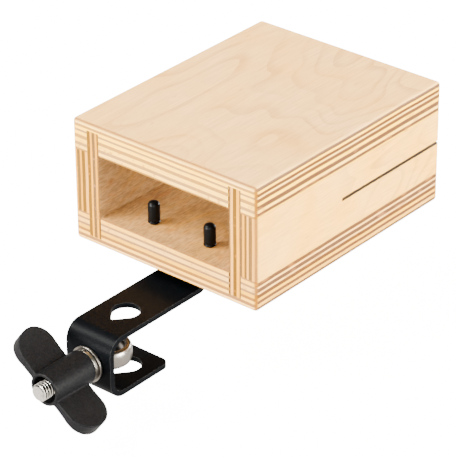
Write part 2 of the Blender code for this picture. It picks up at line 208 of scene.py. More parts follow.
TOP_PLIES = PlySet(1.20 * MM, 1.60 * MM, "FFC24A", "9A703E", "5C3C20")
# The bottom board's cream and front colours are the top's drawn darker: painted shade on the lower
# board.
SHADED_BOTTOM_PLIES = PlySet(1.20 * MM, 1.60 * MM, "E8AA44", "885E36", "5C3C20")
UPRIGHT_PLIES = PlySet(1.45 * MM, 1.25 * MM, "D08804", "684712", "684712")


@dataclass(frozen=True)
class PlySite:
    """What the nodes of a board know of a point on it.

    Args:
        tree: The material's node tree.
        place: Object coordinates.
        turn: Squared parts of the face's normal along X, Y and Z.
        face_share: How squarely the point faces out of or into the box.
        inside: 0 in the outer half of the board and 1 in the inner half.
        code: The ply's code: 1 for a grain along Y, its tone and its warmth.
    """

    tree: bpy.types.NodeTree
    place: bpy.types.NodeSocket
    turn: Sequence[bpy.types.NodeSocket]
    face_share: bpy.types.NodeSocket
    inside: bpy.types.Node
    code: Sequence[bpy.types.NodeSocket]


@dataclass(frozen=True)
class BirchPlywood:
    """Birch plywood, sanded and left matt: pale face veneer, striped edges.

    Every second ply runs across the face grain.  Where a ply is cut across its fibres its
    edge is brown, and where it is cut along them its edge is cream, so the stripes of one
    edge are the negative of the stripes round the corner.

    Args:
        name: Name of the material.
        axis: Axis of the board's thickness.
        outer: Coordinate of the board's outer face on that axis.
        inner: Coordinate of its inner face.
        seed: Seed of the ply thicknesses and tones.
        plies_cut: Thicknesses and edge colours of its plies.
        inner_veneer: Colour of its inner face: unsanded veneer, drawn darker as painted shade of the
            box's inside.
        veneer: Colour of its outer face.
        kerf: Colour of the slot's walls, dark grey-brown as painted shade inside the narrow slot.
        rubbed: Colour that hands and sanding leave on the rounded edges.
        late_wood: Colour of the growth rings' dark lines.
        fleck: Colour of the short flecks.
        plies: Number of plies.
        ply_spread: Share by which a ply may be thinner or thicker than usual.
        face_ply: Thickness of the face plies.
        glue_blur: Width over which one ply gives way to the next.
        waver_reach: The most that a ply wavers along an edge.
        waver_mm: Size of that wavering in millimetres.
        blush_mm: Size of the slow change in warmth.
        fade_mm: Size of the patches where the rings fade.
        hills_mm: Size across and along the grain of the hills that the rings contour.
        fleck_mm: Size of a fleck, across and along.
        fibre_mm: Size of a bundle of fibres, across and along.
        torn_mm: Size of a torn fibre on the inner face, across and along.
        rings: Growth rings from the lowest to the highest hill.
        pore_depth: Depth of the pores between the fibres.
        specular: Specular level of the dry wood.
    """

    name: str
    axis: PlyAxis
    outer: float
    inner: float
    seed: int
    plies_cut: PlySet
    inner_veneer: str
    veneer: str = "E9AD55"
    kerf: str = "52483E"
    rubbed: str = "8A5612"
    late_wood: str = "AD752E"
    fleck: str = "A96D34"
    plies: int = 11
    ply_spread: float = 0.28
    face_ply: float = 0.80 * MM
    glue_blur: float = 0.10 * MM
    waver_reach: float = 0.35 * MM
    waver_mm: float = 28.0
    blush_mm: float = 26.0
    fade_mm: float = 35.0
    hills_mm: tuple[float, float] = (48.0, 120.0)
    fleck_mm: tuple[float, float] = (2.2, 9.0)
    fibre_mm: tuple[float, float] = (0.55, 16.0)
    torn_mm: tuple[float, float] = (0.9, 3.2)
    rings: float = 15.0
    pore_depth: float = 0.04 * MM
    specular: float = 0.12

    @property
    def cross_axis(self) -> int:
        """Index of the axis that the cross plies' grain follows."""
        return PlyAxis.X.value if self.axis is PlyAxis.Z else PlyAxis.Z.value

    def ply_stops(self) -> list[tuple[float, Colour]]:
        """Ramp stops across the thickness.

        Returns:
            Share of the thickness and a code: red is 1 where the grain runs along Y, green
            is the ply's tone and blue its warmth.
        """
        draw = random.Random(self.seed)
        widths = []
        for ply in range(self.plies):
            usual = self.plies_cut.cross_ply if ply % 2 else self.plies_cut.long_ply
            if ply in (0, self.plies - 1):
                usual = self.face_ply
            widths.append(usual * draw.uniform(1 - self.ply_spread, 1 + self.ply_spread))
        total = sum(widths)
        blur = self.glue_blur / abs(self.inner - self.outer)
        stops, start = [], 0.0
        for ply, width in enumerate(widths):
            code = (float(ply % 2 == 0), draw.random(), draw.random(), 1.0)
            end = start + width / total
            stops += [(start + blur / 2, code), (end - blur / 2, code)]
            start = end
        return stops

    def site(self, tree: bpy.types.NodeTree) -> PlySite:
        """Find where in the board a point lies and which ply it belongs to.

        Args:
            tree: The material's node tree.

        Returns:
            What the other methods draw on.
        """
        place = add_node(tree, "TexCoord").outputs["Object"]
        parts = add_node(tree, "SeparateXYZ", {0: place}).outputs
        noted = add_node(tree, "Attribute", attribute_name="face_turn").outputs["Vector"]
        turn = add_node(tree, "SeparateXYZ", {0: noted}).outputs
        depth = add_node(tree, "MapRange", {
            "Value": parts[self.axis.value], "From Min": self.outer, "From Max": self.inner},
            clamp=False)
        inside = add_node(tree, "MapRange", {"Value": depth, "From Min": 0.45, "From Max": 0.55})

        # Plies waver by a few tenths of a millimetre at most along an edge.
        waver = add_node(tree, "TexNoise", {
            "Vector": place, "Scale": per_mm(self.waver_mm)[0], "Detail": 2.0})
        reach = self.waver_reach / abs(self.inner - self.outer)
        shift = add_node(tree, "MapRange", {"Value": waver, "To Min": -reach, "To Max": reach})
        level = add_node(tree, "Math", {0: depth, 1: shift}, operation="ADD")
        ramp = add_node(tree, "ValToRGB", {0: level})
        stops = self.ply_stops()
        while len(ramp.color_ramp.elements) < len(stops):
            ramp.color_ramp.elements.new(1.0)
        for element, (share, code) in zip(ramp.color_ramp.elements, stops):
            element.position, element.color = share, code
        return PlySite(tree, place, turn, turn[self.axis.value], inside,
                       add_node(tree, "SeparateColor", {0: ramp}).outputs)

    def drawn_out(self, site: PlySite, size: tuple[float, float],
                  axis: int = GRAIN_AXIS) -> bpy.types.Node:
        """Scale Object coordinates so that a pattern is drawn out along one axis.

        Args:
            site: The point.
            size: Feature size in millimetres, across and along the grain.
            axis: Index of the axis that the grain follows.

        Returns:
            The node that gives the scaled vector.
        """
        sizes = [size[0]] * 3
        sizes[axis] = size[1]
        return add_node(site.tree, "Mapping", {"Vector": site.place, "Scale": per_mm(*sizes)})

    def cut_wood(self, site: PlySite) -> bpy.types.Node:
        """Colour the wood by how it is cut: cut fibres are brown, and seen from the side cream.

        Args:
            site: The point.

        Returns:
            The node that gives the colour.
        """
        tree, turn, plies = site.tree, site.turn, self.plies_cut
        square = add_node(tree, "Mix", {"Factor": site.code[0], "A": turn[self.cross_axis],
                                        "B": turn[GRAIN_AXIS]})
        cut = add_node(tree, "MapRange", {"Value": square, "From Min": 0.06, "From Max": 0.45},
                       interpolation_type="SMOOTHSTEP")
        end_grain = add_node(tree, "Mix", {"Factor": turn[0], "A": linear(plies.front),
                                           "B": linear(plies.side)}, data_type="RGBA")
        # The inner faces get the darker inner veneer: painted shade of the box's inside on unsanded
        # veneer.
        veneer = add_node(tree, "Mix", {"Factor": site.inside, "A": linear(self.veneer),
                                        "B": linear(self.inner_veneer)}, data_type="RGBA")
        long_grain = add_node(tree, "Mix", {"Factor": site.face_share, "A": linear(plies.cream),
                                            "B": veneer}, data_type="RGBA")
        wood = add_node(tree, "Mix", {"Factor": cut, "A": long_grain, "B": end_grain},
                        data_type="RGBA")
        if self.axis is PlyAxis.X:
            # The slot's walls are drawn dark grey-brown: painted shade inside the narrow slot.
            wood = add_node(tree, "Mix", {"Factor": turn[2], "A": wood, "B": linear(self.kerf)},
                            data_type="RGBA")

        # The rounded edges of the front and back are rubbed darker.
        slant = add_node(tree, "Math", {0: turn[GRAIN_AXIS], 1: 0.5}, operation="PINGPONG")
        rub = add_node(tree, "MapRange", {"Value": slant, "From Min": 0.02, "From Max": 0.35,
                                          "To Max": 0.9})
        return add_node(tree, "Mix", {"Factor": rub, "A": wood, "B": linear(self.rubbed)},
                        data_type="RGBA")

    def figured(self, site: PlySite, wood: bpy.types.Node) -> bpy.types.Node:
        """Draw growth rings and flecks on the wood.

        Args:
            site: The point.
            wood: The node that gives the plain wood's colour.

        Returns:
            The node that gives the figured wood's colour.
        """
        # Growth rings show on the faces as soft contour lines, drawn out along the grain.
        tree = site.tree
        hills = add_node(tree, "TexNoise", {
            "Vector": self.drawn_out(site, self.hills_mm), "Scale": 1.0, "Detail": 1.6,
            "Roughness": 0.42, "Distortion": 0.35, "W": float(self.seed)}, noise_dimensions="4D")
        rise = add_node(tree, "Math", {0: hills, 1: self.rings}, operation="MULTIPLY")
        ring = add_node(tree, "Math", {0: rise}, operation="FRACT")
        line = add_node(tree, "MapRange", {"Value": ring, "From Min": 0.55, "From Max": 0.97,
                                           "To Max": 0.42}, interpolation_type="SMOOTHSTEP")
        fade = add_node(tree, "TexNoise", {
            "Vector": site.place, "Scale": per_mm(self.fade_mm)[0], "Detail": 1.0})
        strength = add_node(tree, "MapRange", {"Value": fade, "From Min": 0.35, "From Max": 0.65,
                                               "To Min": 0.25})
        drawn = add_node(tree, "Math", {0: line, 1: strength}, operation="MULTIPLY")
        shown = add_node(tree, "Math", {0: drawn, 1: site.face_share}, operation="MULTIPLY")
        ringed = add_node(tree, "Mix", {"Factor": shown, "A": wood, "B": linear(self.late_wood)},
                          data_type="RGBA")

        # Short brown flecks lie along the grain, a few on each face and more on the inner ones.
        specks = add_node(tree, "TexNoise", {
            "Vector": self.drawn_out(site, self.fleck_mm), "Scale": 1.0, "Detail": 1.0})
        crowd = add_node(tree, "Math", {0: site.inside, 1: 0.12, 2: specks},
                         operation="MULTIPLY_ADD")
        amount = add_node(tree, "MapRange", {"Value": crowd, "From Min": 0.74, "From Max": 0.82,
                                             "To Max": 0.5})
        return add_node(tree, "Mix", {"Factor": amount, "A": ringed, "B": linear(self.fleck)},
                        data_type="RGBA")

    def fibre(self, site: PlySite) -> bpy.types.Node:
        """Follow each ply's own grain: streaks along it, dots where it is cut.

        Args:
            site: The point.

        Returns:
            The node that gives the fibres' height from 0 to 1.
        """
        streaks = [add_node(site.tree, "TexNoise", {
            "Vector": self.drawn_out(site, self.fibre_mm, axis), "Scale": 1.0, "Detail": 3.0,
            "Roughness": 0.6}) for axis in (self.cross_axis, GRAIN_AXIS)]
        return add_node(site.tree, "Mix", {"Factor": site.code[0], "A": streaks[0],
                                           "B": streaks[1]})

    def shaded(self, site: PlySite, wood: bpy.types.Node, fibre: bpy.types.Node) -> bpy.types.Node:
        """Vary the wood's depth of colour with its fibres, its plies and its unsanded faces.

        Args:
            site: The point.
            wood: The node that gives the figured wood's colour.
            fibre: The node that gives the fibres' height.

        Returns:
            The node that gives the final colour.
        """
        tree = site.tree
        light = add_node(tree, "MapRange", {"Value": fibre, "From Min": 0.28, "From Max": 0.72,
                                            "To Min": 0.78, "To Max": 1.08})
        tone = add_node(tree, "MapRange", {"Value": site.code[1], "To Min": 0.90, "To Max": 1.06})
        value = add_node(tree, "Math", {0: light, 1: tone}, operation="MULTIPLY")

        # The inner faces are left unsanded, mottled with short torn fibres.
        torn = add_node(tree, "TexNoise", {
            "Vector": self.drawn_out(site, self.torn_mm), "Scale": 1.0, "Detail": 2.0})
        nap = add_node(tree, "MapRange", {"Value": torn, "From Min": 0.35, "From Max": 0.65,
                                          "To Min": 0.76, "To Max": 1.20})
        unsanded = add_node(tree, "Math", {0: site.inside, 1: site.face_share},
                            operation="MULTIPLY")
        mottle = add_node(tree, "Mix", {"Factor": unsanded, "A": 1.0, "B": nap})
        value = add_node(tree, "Math", {0: value, 1: mottle}, operation="MULTIPLY")

        # Each ply has its own warmth, and a slow blush runs over the whole board.
        blush = add_node(tree, "TexNoise", {
            "Vector": site.place, "Scale": per_mm(self.blush_mm)[0], "Detail": 2.0})
        warmth = add_node(tree, "Math", {0: site.code[2], 1: blush}, operation="ADD")
        richness = add_node(tree, "MapRange", {"Value": warmth, "From Min": 0.3, "From Max": 1.7,
                                               "To Min": 0.9, "To Max": 1.14})
        return add_node(tree, "HueSaturation", {"Saturation": richness, "Value": value,
                                                "Color": wood})

    def material(self) -> bpy.types.Material:
        """Build the material.

        Returns:
            The material, which reads Object coordinates and the board's "face_turn".
        """
        made, tree, shader = new_material(self.name)
        site = self.site(tree)
        fibre = self.fibre(site)
        bump = add_node(tree, "Bump", {"Strength": 0.35, "Distance": self.pore_depth,
                                       "Height": fibre})
        feed(shader, {
            "Base Color": self.shaded(site, self.figured(site, self.cut_wood(site)), fibre),
            "Roughness": add_node(tree, "MapRange", {"Value": fibre, "To Min": 0.66,
                                                     "To Max": 0.50}),
            "Normal": bump,
            "Specular IOR Level": self.specular})
        return made


@dataclass(frozen=True)
class GrainedSurface:
    """A hard or soft surface whose colour, gloss and relief vary with one fine grain.

    Args:
        name: What the material is.
        low: Colour in the grain's hollows.
        high: Colour on its tops.
        gloss: Roughness on the tops and in the hollows.
        grain: Size of the grain in millimetres.
        relief: Depth of the grain in millimetres.
        cloud: Size in millimetres of the slow change in gloss across the surface.
        metallic: Metallic value of the shader.
        specular: Specular level of the shader, which a metal leaves alone.
        drawn_out: How many times longer the grain is along Y.
        rounded: Lighter colour on rounded edges, a painted highlight, or none.
        hollow: Dark colour in hollows, a painted shade, or none.
    """

    name: str
    low: str
    high: str
    gloss: tuple[float, float]
    grain: float
    relief: float
    cloud: float
    metallic: float = 0.0
    specular: float = 0.5
    drawn_out: float = 1.0
    rounded: Optional[str] = None
    hollow: Optional[str] = None

    def material(self) -> bpy.types.Material:
        """Build the material.

        Returns:
            The material, which reads Object coordinates and the piece's own notes.
        """
        made, tree, shader = new_material(self.name)
        place = add_node(tree, "TexCoord").outputs["Object"]
        scales = per_mm(self.grain, self.grain * self.drawn_out, self.grain)
        fine = add_node(tree, "TexNoise", {
            "Vector": add_node(tree, "Mapping", {"Vector": place, "Scale": scales}),
            "Scale": 1.0, "Detail": 3.0, "Roughness": 0.55})
        slow = add_node(tree, "TexNoise", {
            "Vector": place, "Scale": per_mm(self.cloud)[0], "Detail": 2.0})
        share = add_node(tree, "MapRange", {"Value": fine, "From Min": 0.3, "From Max": 0.7})
        colour = add_node(tree, "Mix", {"Factor": share, "A": linear(self.low),
                                        "B": linear(self.high)}, data_type="RGBA")
        # A lighter colour on rounded edges paints a highlight, and a dark one in hollows paints
        # shade.
        for note, shade in (("rounding", self.rounded), ("hollow", self.hollow)):
            if shade:
                noted = add_node(tree, "Attribute", attribute_name=note).outputs["Fac"]
                amount = add_node(tree, "MapRange", {"Value": noted, "From Min": 0.15,
                                                     "From Max": 0.55})
                colour = add_node(tree, "Mix", {"Factor": amount, "A": colour, "B": linear(shade)},
                                  data_type="RGBA")
        worn = add_node(tree, "Mix", {"Factor": 0.5, "A": fine, "B": slow})
        rough = add_node(tree, "MapRange", {"Value": worn, "From Min": 0.3, "From Max": 0.7,
                                            "To Min": self.gloss[1], "To Max": self.gloss[0]})
        bump = add_node(tree, "Bump", {"Strength": 0.6, "Distance": self.relief * MM,
                                       "Height": fine})
        feed(shader, {"Base Color": colour, "Roughness": rough, "Normal": bump,
                      "Metallic": self.metallic})
        if not self.metallic:
            feed(shader, {"Specular IOR Level": self.specular})
        return made


# Baked powder coat: near-black satin with the faint orange peel of sprayed powder.
# Its rounded edges get a lighter grey: a painted highlight.
POWDER_COAT = GrainedSurface("black_powder_coat", "020304", "060709", (0.33, 0.43), 0.9, 0.010, 14,
                             specular=0.02, rounded="303030")
# Glass-filled nylon from a spark-eroded mould: matt, with a grain too fine to show that is
# drawn here at seven tenths of a millimetre.
MOULDED_NYLON = GrainedSurface("black_moulded_nylon", "040405", "121213", (0.40, 0.52), 0.7, 0.05,
                               9, specular=0.055)
# Dipped vinyl: soft black with a broad wet-looking gleam.
DIPPED_VINYL = GrainedSurface("black_dipped_vinyl", "030303", "060606", (0.28, 0.40), 1.1, 0.012, 4,
                              specular=0.08)
# Bright nickel over tumbled steel: warm white metal with fine rubbed marks.
# The thread's hollows get a near-black painted shade.
BRIGHT_NICKEL = GrainedSurface("bright_nickel_plate", "C2BDB5", "D6D1C9", (0.20, 0.30), 0.45, 0.002,
                               5, metallic=1.0, drawn_out=3.0, hollow="161210")
# The same plate on the washers and the forged eye, drawn darker and greyer as painted shade, and
# less sharp.
SHADED_NICKEL = GrainedSurface("shaded_nickel_plate", "6E6962", "86817A", (0.24, 0.36), 0.35, 0.004,
                               4, metallic=1.0)
# Black zinc on a pan-head screw: dark metal, slightly cloudy.
BLACK_ZINC = GrainedSurface("black_zinc_plate", "1E1E20", "2C2C2E", (0.30, 0.48), 0.5, 0.006, 3,
                            metallic=1.0)
# Turned brass: yellow metal with turning marks.
TURNED_BRASS = GrainedSurface("turned_brass", "B98F3E", "D9B05C", (0.22, 0.40), 0.25, 0.006, 4,
                              metallic=1.0)


def arc(centre: tuple[float, float], radius: float, start: float, end: float,
        steps: int) -> list[tuple[float, float]]:
    """Points along an arc, both ends included.

    Args:
        centre: Centre of the arc.
        radius: Its radius.
        start: First angle in radians.
        end: Last angle in radians.
        steps: Number of chords.

    Returns:
        The points.
    """
    turns = (start + (end - start) * step / steps for step in range(steps + 1))
    return [(centre[0] + radius * math.cos(turn), centre[1] + radius * math.sin(turn))
            for turn in turns]


def quarter_dome(radius: float, height: float, steps: int) -> list[tuple[float, float]]:
    """Points over a dome, from its middle down to its rim.

    Args:
        radius: Radius of the rim.
        height: Height of the dome.
        steps: Number of chords.

    Returns:
        Radius of each point and its height above the rim.
    """
    turns = (QUARTER_TURN * step / steps for step in range(steps + 1))
    return [(radius * math.sin(turn), height * math.cos(turn)) for turn in turns]


def upright_foot(low: Vector, high: Vector) -> Vector:
    """Where the upright line through the middle of a box meets level 0."""
    return Vector(((low.x + high.x) / 2, (low.y + high.y) / 2, 0))


def turned(profile: Points, axis: Vector, centre: Vector, closed: bool = False,
           steps: int = ROUND_STEPS) -> bmesh.types.BMesh:
    """Spin a profile all the way round a line.

    Args:
        profile: Points of radius and station along the line.
        axis: Direction of the line.
        centre: Point on the line where the station is 0.
        closed: Whether the profile is a ring that stays clear of the line.
        steps: Number of steps in the turn.

    Returns:
        A closed shape with its faces pointing out.
    """
    shape = bmesh.new()
    sideways = axis.orthogonal().normalized()
    points = [shape.verts.new(centre + sideways * radius + axis * station)
              for radius, station in profile]
    pairs = list(zip(points, points[1:]))
    if closed:
        pairs.append((points[-1], points[0]))
    edges = [shape.edges.new(pair) for pair in pairs]
    bmesh.ops.spin(shape, geom=points + edges, cent=centre, axis=axis, angle=FULL_TURN, steps=steps,
                   use_merge=True)
    bmesh.ops.remove_doubles(shape, verts=shape.verts, dist=MERGE)
    bmesh.ops.recalc_face_normals(shape, faces=shape.faces)
    return shape


def push(shape: bmesh.types.BMesh, faces: list[bmesh.types.BMFace],
         travel: Vector) -> list[bmesh.types.BMFace]:
    """Extrude faces by a vector.

    Args:
        shape: The shape that the faces belong to.
        faces: The faces to extrude.
        travel: How far they go.

    Returns:
        The faces at the far end.
    """
    grown = bmesh.ops.extrude_face_region(shape, geom=faces)["geom"]
    moved = [item for item in grown if isinstance(item, bmesh.types.BMVert)]
    bmesh.ops.translate(shape, verts=moved, vec=travel)
    return [item for item in grown if isinstance(item, bmesh.types.BMFace)]


def round_edges(shape: bmesh.types.BMesh, radius: float, segments: int,
                wanted: Callable[[bmesh.types.BMEdge], bool]) -> None:
    """Round the edges that satisfy a test, and note the new faces in "rounding".

    Args:
        shape: The shape to work on.
        radius: Radius of the rounding.
        segments: Facets across the rounding.
        wanted: Test of an edge.
    """
    note = shape.faces.layers.float.get("rounding") or shape.faces.layers.float.new("rounding")
    edges = [edge for edge in shape.edges if wanted(edge)]
    made = bmesh.ops.bevel(shape, geom=edges, offset=radius, offset_type="OFFSET", affect="EDGES",
                           segments=segments, profile=0.5, clamp_overlap=True, material=-1)
    for face in made["faces"]:
        face[note] = 1.0


def everything(shape: bmesh.types.BMesh) -> list:
    """All vertices, edges and faces of a shape."""
    return shape.verts[:] + shape.edges[:] + shape.faces[:]


def is_crease(edge: bmesh.types.BMEdge) -> bool:
    """Whether two faces meet at an edge at more than a shallow angle."""
    return edge.is_manifold and edge.calc_face_angle() > SMOOTH_ANGLE


def add_object(name: str, shape: bmesh.types.BMesh) -> bpy.types.Object:
    """Turn a finished bmesh into an object at the origin.

    Args:
        name: Name of the object and its mesh.
        shape: The shape, which is freed.

    Returns:
        The object.
    """
    mesh = bpy.data.meshes.new(name)
    shape.to_mesh(mesh)
    shape.free()
    made = bpy.data.objects.new(name, mesh)
    bpy.context.scene.collection.objects.link(made)
    return made


def apply_modifiers(piece: bpy.types.Object) -> None:
    """Replace a piece's mesh with what its modifiers make of it.

    Args:
        piece: The piece, which loses its modifiers.
    """
    bpy.context.view_layer.update()
    graph = bpy.context.evaluated_depsgraph_get()
    mesh = bpy.data.meshes.new_from_object(piece.evaluated_get(graph))
    piece.modifiers.clear()
    piece.data = mesh


def combine(piece: bpy.types.Object, shape: bmesh.types.BMesh, join: Join) -> None:
    """Add a shape to a piece or cut it away.

    Args:
        piece: The piece.
        shape: The shape that joins it or cuts it, which is freed.
        join: Which of the two.
    """
    tool = add_object("tool", shape)
    step = piece.modifiers.new("combine", "BOOLEAN")
    step.operation, step.solver, step.object = join.value, "EXACT", tool
    apply_modifiers(piece)
    bpy.data.objects.remove(tool, do_unlink=True)


def dress(piece: bpy.types.Object, finish: bpy.types.Material) -> None:
    """Give a piece its finish and even shading.

    Args:
        piece: The piece.
        finish: Its material.
    """
    piece.data.materials.clear()
    piece.data.materials.append(finish)
    piece.data.shade_smooth()
    piece.data.set_sharp_from_angle(angle=SMOOTH_ANGLE)
    even = piece.modifiers.new("even_shading", "WEIGHTED_NORMAL")
    even.keep_sharp = True


def hand_over(piece: bpy.types.Object, body: Body, slot: str, *nodes: str) -> None:
    """Let a piece ride on a body and stand for the solids that it replaces.

    Args:
        piece: The finished piece.
        body: The body that carries it.
        slot: The record's material slot; not used.
        nodes: Names of the solids that it replaces.
    """
    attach(piece, body.value)
    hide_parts(*nodes)
    LOG.info("%s: %d faces, on %s, for %s", piece.name, len(piece.data.polygons), body.value,
             ", ".join(nodes))


@dataclass
class SoundBox:
    """The four glued plywood boards: two flat ones and two sides with tongues and saw slots.

    Args:
        tongue: Thickness of the side boards' tongues.
        groove_roof: Wood left between a groove and the outer face.
        edge_round: Radius of the box's outer edges.
        inner_break: Radius of the broken edges round the openings.
        glue_line: Room for the glue between two boards.
        inner_seam: Width of the seam inside, where a side board meets a flat one.
        slot_kerf: Height of the saw slots.
        slot_length: How far they run in from the back.
        bore_diameter: Diameter of the bores for the screws' ends.
        insert_bore: Diameter of the bores for the inserts.
        insert_cover: Wood left above the inserts.
        round_segments: Facets across a rounded outer edge.
        break_segments: Facets across a broken edge.
        bore_steps: Facets round a bore.
    """

    tongue: float = 6.5 * MM
    groove_roof: float = 4.0 * MM
    edge_round: float = 1.9 * MM
    inner_break: float = 0.25 * MM
    glue_line: float = 0.03 * MM
    inner_seam: float = 0.30 * MM
    slot_kerf: float = 1.65 * MM
    slot_length: float = 72.0 * MM
    bore_diameter: float = 4.4 * MM
    insert_bore: float = 7.2 * MM
    insert_cover: float = 2.9 * MM
    round_segments: int = 8
    break_segments: int = 2
    bore_steps: int = 48

    def __post_init__(self) -> None:
        """Read the box's levels and stations from the frame."""
        low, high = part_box("top_board")
        self.half, self.front, self.back = high.x, low.y, high.y
        self.ceiling, self.top = low.z, high.z
        low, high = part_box("bottom_board")
        self.underside, self.floor = low.z, high.z
        self.ply = self.top - self.ceiling
        self.inside = self.half - self.ply
        self.step = self.inside + self.tongue
        self.groove = self.ply - self.groove_roof

    def near(self, value: float, place: float) -> bool:
        """Whether a coordinate lies at a place."""
        return abs(value - place) < self.glue_line / 3

    def at_end(self, point: Vector) -> bool:
        """Whether a point lies on the box's front or back."""
        return self.near(point.y, self.front) or self.near(point.y, self.back)

    def is_corner(self, edge: bmesh.types.BMEdge) -> bool:
        """Whether an edge runs along one of the box's four upright corners.

        Args:
            edge: The edge.

        Returns:
            True for a corner.
        """
        first, second = (vert.co for vert in edge.verts)
        return (all(self.near(abs(point.x), self.half) and self.at_end(point)
                    for point in (first, second)) and self.near(first.y, second.y))

    def flat_board(self, name: str, outer: float, inner: float) -> bpy.types.Object:
        """Build the top or bottom board with a groove for each side board's tongue.

        Args:
            name: Name of the piece.
            outer: Level of its outer face.
            inner: Level of its inner face.

        Returns:
            The board.
        """
        inward = math.copysign(1.0, inner - outer)
        groove_floor = inner - inward * self.groove
        outside, inside = self.step + self.glue_line, self.inside - self.inner_seam
        half_outline = [(self.half, outer), (self.half, inner), (outside, inner),
                        (outside, groove_floor), (inside, groove_floor), (inside, inner)]
        outline = half_outline + [(-x, z) for x, z in reversed(half_outline)]
        shape = bmesh.new()
        face = shape.faces.new([shape.verts.new((x, self.front, z)) for x, z in outline])
        push(shape, [face], Vector((0, self.back - self.front, 0)))
        bmesh.ops.recalc_face_normals(shape, faces=shape.faces)

        def outside_edge(edge: bmesh.types.BMEdge) -> bool:
            """Whether an edge runs round the outer face or down a corner of the box."""
            rim = all(self.near(vert.co.z, outer) for vert in edge.verts)
            return rim or self.is_corner(edge)

        def mouth_edge(edge: bmesh.types.BMEdge) -> bool:
            """Whether an edge is the board's lip of the front or back opening."""
            return all(self.near(vert.co.z, inner) and self.at_end(vert.co)
                       and abs(vert.co.x) < self.inside for vert in edge.verts)

        round_edges(shape, self.inner_break, self.break_segments, mouth_edge)
        round_edges(shape, self.edge_round, self.round_segments, outside_edge)
        return add_object(name, shape)

    def side_board(self, name: str, side: Side) -> bpy.types.Object:
        """Build a side board: shoulders, tongues and one saw slot from the back.

        Args:
            name: Name of the piece.
            side: The side that it stands on.

        Returns:
            The board.
        """
        middle = (self.floor + self.ceiling) / 2
        cut = self.slot_kerf / 2

        def half_outline(face: float, edge: float) -> list[tuple[float, float]]:
            """Outline above or below the slot, from its outer corner round to its inner one.

            Args:
                face: Level of the slot's wall.
                edge: Level of the flat board's inner face.

            Returns:
                Distance from the middle plane and level of each point.
            """
            away = math.copysign(1.0, edge - middle)
            shoulder = edge - away * self.glue_line
            tip = edge + away * (self.groove - self.glue_line)
            return [(self.half, face), (self.half, shoulder), (self.step, shoulder),
                    (self.step, tip), (self.inside, tip), (self.inside, face)]

        shape = bmesh.new()
        halves = ((middle + cut, self.ceiling), (middle - cut, self.floor))
        rings = [[shape.verts.new((side.value * x, self.front, z)) for x, z in half_outline(*levels)]
                 for levels in halves]
        upper, lower = (shape.faces.new(ring) for ring in rings)
        strip = shape.faces.new((rings[0][0], rings[0][-1], rings[1][-1], rings[1][0]))
        bmesh.ops.recalc_face_normals(shape, faces=shape.faces)
        whole = self.back - self.slot_length - self.front
        far = push(shape, [upper, lower, strip], Vector((0, whole, 0)))
        cheeks = [face for face in far if abs(face.calc_center_median().z - middle) > cut]
        push(shape, cheeks, Vector((0, self.slot_length, 0)))
        bmesh.ops.delete(shape, geom=cheeks, context="FACES_ONLY")
        bmesh.ops.recalc_face_normals(shape, faces=shape.faces)

        def mouth_edge(edge: bmesh.types.BMEdge) -> bool:
            """Whether an edge is the board's lip of the front or back opening."""
            return all(self.at_end(vert.co) and self.near(abs(vert.co.x), self.inside)
                       for vert in edge.verts) and edge.is_manifold

        round_edges(shape, self.inner_break, self.break_segments, mouth_edge)
        round_edges(shape, self.edge_round, self.round_segments, self.is_corner)
        return add_object(name, shape)

    def drill(self, board: bpy.types.Object, screw: str) -> None:
        """Bore the bottom board for an insert from below and right through for its screw.

        Args:
            board: The bottom board.
            screw: Name of the screw's solid, which gives the place.
        """
        wide, narrow = self.insert_bore / 2, self.bore_diameter / 2
        shelf = self.floor - self.insert_cover
        profile = [(0, self.underside - self.ply), (wide, self.underside - self.ply), (wide, shelf),
                   (narrow, shelf), (narrow, self.floor + self.ply), (0, self.floor + self.ply)]
        bore = turned(profile, UP, upright_foot(*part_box(screw)), steps=self.bore_steps)
        combine(board, bore, Join.CUT)

    def note_face_turns(self, board: bpy.types.Object) -> None:
        """Keep the squared parts of each face's normal, which tell end grain from long grain.

        Args:
            board: The finished board.
        """
        turns = board.data.attributes.new("face_turn", "FLOAT_VECTOR", "FACE")
        for face, note in zip(board.data.polygons, turns.data):
            note.vector = [part * part for part in face.normal]

    def build(self) -> None:
        """Build, dress and place the four boards."""
        top = self.flat_board("birch_top", self.top, self.ceiling)
        bottom = self.flat_board("birch_bottom", self.underside, self.floor)
        # Every inner veneer is darker than the outer one: painted shade of the box's inside.
        boards = [
            (top, "top_board", BirchPlywood(
                "birch_plywood_top", PlyAxis.Z, self.top, self.ceiling, seed=4,
                plies_cut=TOP_PLIES, inner_veneer="B48953")),
            (bottom, "bottom_board", BirchPlywood(
                "birch_plywood_bottom", PlyAxis.Z, self.underside, self.floor, seed=7,
                plies_cut=SHADED_BOTTOM_PLIES, inner_veneer="A67A46"))]
        for side, seed in ((Side.LEFT, 10), (Side.RIGHT, 12)):
            board = self.side_board("birch_side_" + side.label, side)
            boards.append((board, "side_board_" + side.label, BirchPlywood(
                "birch_plywood_" + side.label, PlyAxis.X, side.value * self.half,
                side.value * self.inside, seed=seed, plies_cut=UPRIGHT_PLIES,
                inner_veneer="A57A46", veneer="ECA920")))
            self.drill(bottom, "bracket_screw_" + side.label)
        for board, node, finish in boards:
            self.note_face_turns(board)
            dress(board, finish.material())
            hand_over(board, Body.BLOCK, "plywood", node)


